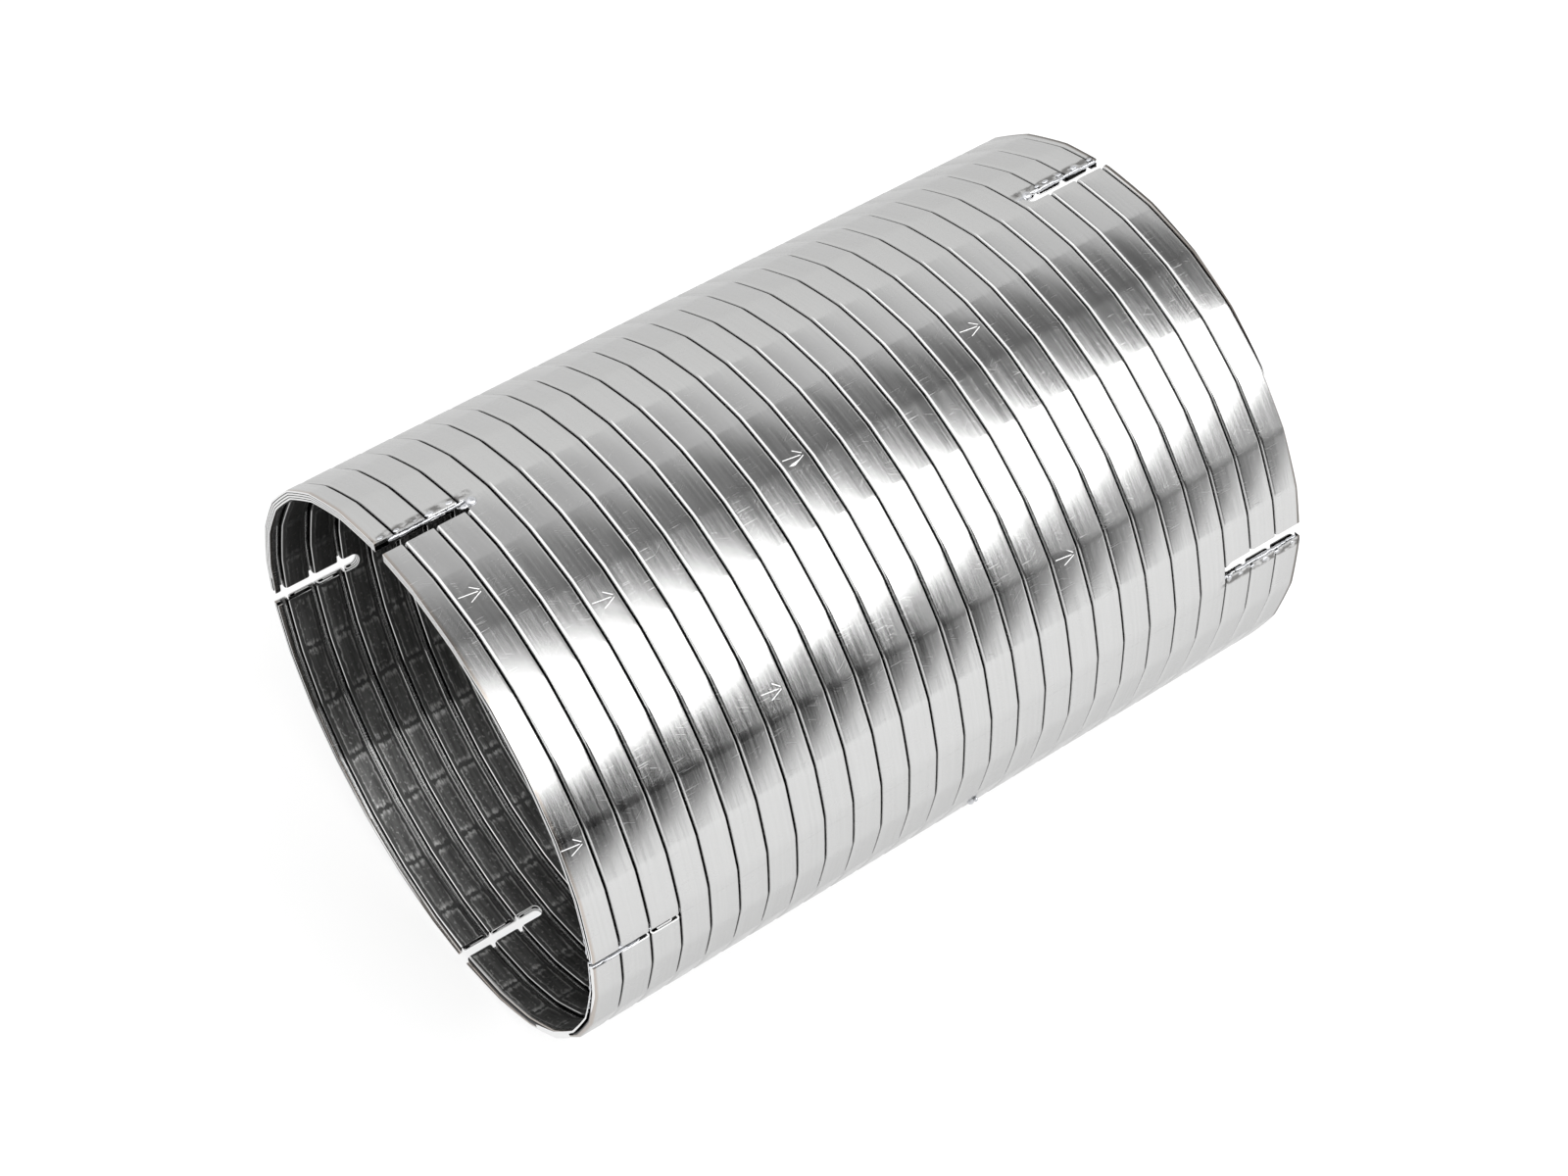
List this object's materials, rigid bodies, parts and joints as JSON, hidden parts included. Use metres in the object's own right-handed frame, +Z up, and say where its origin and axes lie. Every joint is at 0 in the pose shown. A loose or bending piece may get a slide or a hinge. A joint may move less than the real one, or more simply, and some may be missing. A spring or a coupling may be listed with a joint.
{
  "type": "stripwound flexible exhaust pipe",
  "caption": "Short stripwound flexible steel exhaust pipe: a hooked S-section strip wound in a helix, with square-cut ends slotted and tack-welded for clamps.",
  "frame": {"origin": "on the resting plane, under the middle of the pipe", "axes": "+X along the pipe from end A to end B, +Z up"},
  "size_m": [0.2, 0.1384, 0.1384],
  "materials": {
    "strip_steel": "bright rolled stainless strip with fine scratches",
    "weld_metal": "bare tack weld beads"
  },
  "bodies": {
    "end_a": {"turn_03": "strip_steel", "turn_04": "strip_steel"},
    "turn_05": {"turn_05": "strip_steel"},
    "turn_06": {"turn_06": "strip_steel"},
    "turn_07": {"turn_07": "strip_steel"},
    "turn_08": {"turn_08": "strip_steel"},
    "turn_09": {"turn_09": "strip_steel"},
    "turn_10": {"turn_10": "strip_steel"},
    "turn_11": {"turn_11": "strip_steel"},
    "turn_12": {"turn_12": "strip_steel"},
    "turn_13": {"turn_13": "strip_steel"},
    "turn_14": {"turn_14": "strip_steel"},
    "turn_15": {"turn_15": "strip_steel"},
    "turn_16": {"turn_16": "strip_steel"},
    "turn_17": {"turn_17": "strip_steel"},
    "turn_18": {"turn_18": "strip_steel"},
    "turn_19": {"turn_19": "strip_steel"},
    "turn_20": {"turn_20": "strip_steel"},
    "turn_21": {"turn_21": "strip_steel"},
    "turn_22": {"turn_22": "strip_steel"},
    "end_b": {"turn_23": "strip_steel", "turn_24": "strip_steel"},
    "tab_a1": {"tab_a1_rim": "strip_steel", "tab_a1_root": "strip_steel", "weld_a2": "weld_metal"},
    "tab_a2": {"tab_a2_liner": "strip_steel", "tab_a2_rim": "strip_steel", "tab_a2_root": "strip_steel", "weld_a3": "weld_metal"},
    "tab_a3": {"tab_a3_liner": "strip_steel", "tab_a3_rim": "strip_steel", "tab_a3_root": "strip_steel", "weld_a4": "weld_metal"},
    "tab_a4": {"tab_a4_liner": "strip_steel", "tab_a4_rim": "strip_steel", "tab_a4_root": "strip_steel", "weld_a1": "weld_metal"},
    "tab_b1": {"tab_b1_mid": "strip_steel", "tab_b1_rim": "strip_steel", "tab_b1_root": "strip_steel", "weld_b1": "weld_metal", "weld_b2": "weld_metal"},
    "tab_b2": {"tab_b2_mid": "strip_steel", "tab_b2_rim": "strip_steel", "tab_b2_root": "strip_steel", "weld_b3": "weld_metal"},
    "tab_b3": {"tab_b3_mid": "strip_steel", "tab_b3_rim": "strip_steel", "tab_b3_root": "strip_steel", "weld_b4": "weld_metal"},
    "tab_b4": {"tab_b4_mid": "strip_steel", "tab_b4_rim": "strip_steel", "tab_b4_root": "strip_steel"}
  },
  "joints": [
    {"name": "extend", "type": "slide", "parent": "end_a", "child": "turn_05", "axis": [1, 0, 0], "range_m": [-0.0004, 0.0016]},
    {"name": "bend_side", "type": "hinge", "parent": "turn_05", "child": "turn_06", "pos_m": [-0.0624, 0, 0.0692], "axis": [0, 0, 1], "range_deg": [-0.35, 0.35]},
    {"name": "extend_2", "type": "slide", "parent": "turn_06", "child": "turn_07", "axis": [1, 0, 0], "range_m": [-0.0004, 0.0016]},
    {"name": "bend_up", "type": "hinge", "parent": "turn_07", "child": "turn_08", "pos_m": [-0.04692, 0, 0.0692], "axis": [0, 1, 0], "range_deg": [-0.35, 0.35]},
    {"name": "extend_3", "type": "slide", "parent": "turn_08", "child": "turn_09", "axis": [1, 0, 0], "range_m": [-0.0004, 0.0016]},
    {"name": "bend_side_2", "type": "hinge", "parent": "turn_09", "child": "turn_10", "pos_m": [-0.03144, 0, 0.0692], "axis": [0, 0, 1], "range_deg": [-0.35, 0.35]},
    {"name": "extend_4", "type": "slide", "parent": "turn_10", "child": "turn_11", "axis": [1, 0, 0], "range_m": [-0.0004, 0.0016]},
    {"name": "bend_up_2", "type": "hinge", "parent": "turn_11", "child": "turn_12", "pos_m": [-0.01596, 0, 0.0692], "axis": [0, 1, 0], "range_deg": [-0.35, 0.35]},
    {"name": "extend_5", "type": "slide", "parent": "turn_12", "child": "turn_13", "axis": [1, 0, 0], "range_m": [-0.0004, 0.0016]},
    {"name": "bend_side_3", "type": "hinge", "parent": "turn_13", "child": "turn_14", "pos_m": [-0.00048, 0, 0.0692], "axis": [0, 0, 1], "range_deg": [-0.35, 0.35]},
    {"name": "extend_6", "type": "slide", "parent": "turn_14", "child": "turn_15", "axis": [1, 0, 0], "range_m": [-0.0004, 0.0016]},
    {"name": "bend_up_3", "type": "hinge", "parent": "turn_15", "child": "turn_16", "pos_m": [0.015, 0, 0.0692], "axis": [0, 1, 0], "range_deg": [-0.35, 0.35]},
    {"name": "extend_7", "type": "slide", "parent": "turn_16", "child": "turn_17", "axis": [1, 0, 0], "range_m": [-0.0004, 0.0016]},
    {"name": "bend_side_4", "type": "hinge", "parent": "turn_17", "child": "turn_18", "pos_m": [0.03048, 0, 0.0692], "axis": [0, 0, 1], "range_deg": [-0.35, 0.35]},
    {"name": "extend_8", "type": "slide", "parent": "turn_18", "child": "turn_19", "axis": [1, 0, 0], "range_m": [-0.0004, 0.0016]},
    {"name": "bend_up_4", "type": "hinge", "parent": "turn_19", "child": "turn_20", "pos_m": [0.04596, 0, 0.0692], "axis": [0, 1, 0], "range_deg": [-0.35, 0.35]},
    {"name": "extend_9", "type": "slide", "parent": "turn_20", "child": "turn_21", "axis": [1, 0, 0], "range_m": [-0.0004, 0.0016]},
    {"name": "bend_side_5", "type": "hinge", "parent": "turn_21", "child": "turn_22", "pos_m": [0.06144, 0, 0.0692], "axis": [0, 0, 1], "range_deg": [-0.35, 0.35]},
    {"name": "extend_10", "type": "slide", "parent": "turn_22", "child": "end_b", "axis": [1, 0, 0], "range_m": [-0.0004, 0.0016]},
    {"name": "clamp_a", "type": "hinge", "parent": "end_a", "child": "tab_a1", "pos_m": [-0.08854, -0.04572, 0.03117], "axis": [0, 0.6394, -0.7688], "range_deg": [0, 1.8], "stiffness_Nm_per_rad": 20},
    {"name": "clamp_a_2", "type": "hinge", "parent": "end_a", "child": "tab_a2", "pos_m": [-0.08659, 0.03786, 0.0248], "axis": [0, 0.761, 0.6488], "range_deg": [0, 1.8], "stiffness_Nm_per_rad": 20},
    {"name": "clamp_a_3", "type": "hinge", "parent": "end_a", "child": "tab_a3", "pos_m": [-0.08465, 0.04503, 0.1082], "axis": [0, -0.6547, 0.7559], "range_deg": [0, 1.8], "stiffness_Nm_per_rad": 20},
    {"name": "clamp_a_4", "type": "hinge", "parent": "end_a", "child": "tab_a4", "pos_m": [-0.08273, -0.03799, 0.11415], "axis": [0, -0.7638, -0.6455], "range_deg": [0, 1.8], "stiffness_Nm_per_rad": 20},
    {"name": "clamp_b", "type": "hinge", "parent": "end_b", "child": "tab_b1", "pos_m": [0.08167, -0.04742, 0.03398], "axis": [0, -0.5962, 0.8028], "range_deg": [0, 1.8], "stiffness_Nm_per_rad": 20},
    {"name": "clamp_b_2", "type": "hinge", "parent": "end_b", "child": "tab_b2", "pos_m": [0.08361, 0.03522, 0.02178], "axis": [0, -0.8028, -0.5962], "range_deg": [0, 1.8], "stiffness_Nm_per_rad": 20},
    {"name": "clamp_b_3", "type": "hinge", "parent": "end_b", "child": "tab_b3", "pos_m": [0.08554, 0.04771, 0.10424], "axis": [0, 0.592, -0.8059], "range_deg": [0, 1.8], "stiffness_Nm_per_rad": 20},
    {"name": "clamp_b_4", "type": "hinge", "parent": "end_b", "child": "tab_b4", "pos_m": [0.08747, -0.03489, 0.1167], "axis": [0, 0.8059, 0.592], "range_deg": [0, 1.8], "stiffness_Nm_per_rad": 20}
  ],
  "couplings": [
    {"joint": "extend_2", "follows": "extend", "ratio": 1},
    {"joint": "extend_3", "follows": "extend", "ratio": 1},
    {"joint": "bend_side_2", "follows": "bend_side", "ratio": 1},
    {"joint": "extend_4", "follows": "extend", "ratio": 1},
    {"joint": "bend_up_2", "follows": "bend_up", "ratio": 1},
    {"joint": "extend_5", "follows": "extend", "ratio": 1},
    {"joint": "bend_side_3", "follows": "bend_side", "ratio": 1},
    {"joint": "extend_6", "follows": "extend", "ratio": 1},
    {"joint": "bend_up_3", "follows": "bend_up", "ratio": 1},
    {"joint": "extend_7", "follows": "extend", "ratio": 1},
    {"joint": "bend_side_4", "follows": "bend_side", "ratio": 1},
    {"joint": "extend_8", "follows": "extend", "ratio": 1},
    {"joint": "bend_up_4", "follows": "bend_up", "ratio": 1},
    {"joint": "extend_9", "follows": "extend", "ratio": 1},
    {"joint": "bend_side_5", "follows": "bend_side", "ratio": 1},
    {"joint": "extend_10", "follows": "extend", "ratio": 1},
    {"joint": "clamp_a_2", "follows": "clamp_a", "ratio": 1},
    {"joint": "clamp_a_3", "follows": "clamp_a", "ratio": 1},
    {"joint": "clamp_a_4", "follows": "clamp_a", "ratio": 1},
    {"joint": "clamp_b_2", "follows": "clamp_b", "ratio": 1},
    {"joint": "clamp_b_3", "follows": "clamp_b", "ratio": 1},
    {"joint": "clamp_b_4", "follows": "clamp_b", "ratio": 1}
  ]
}
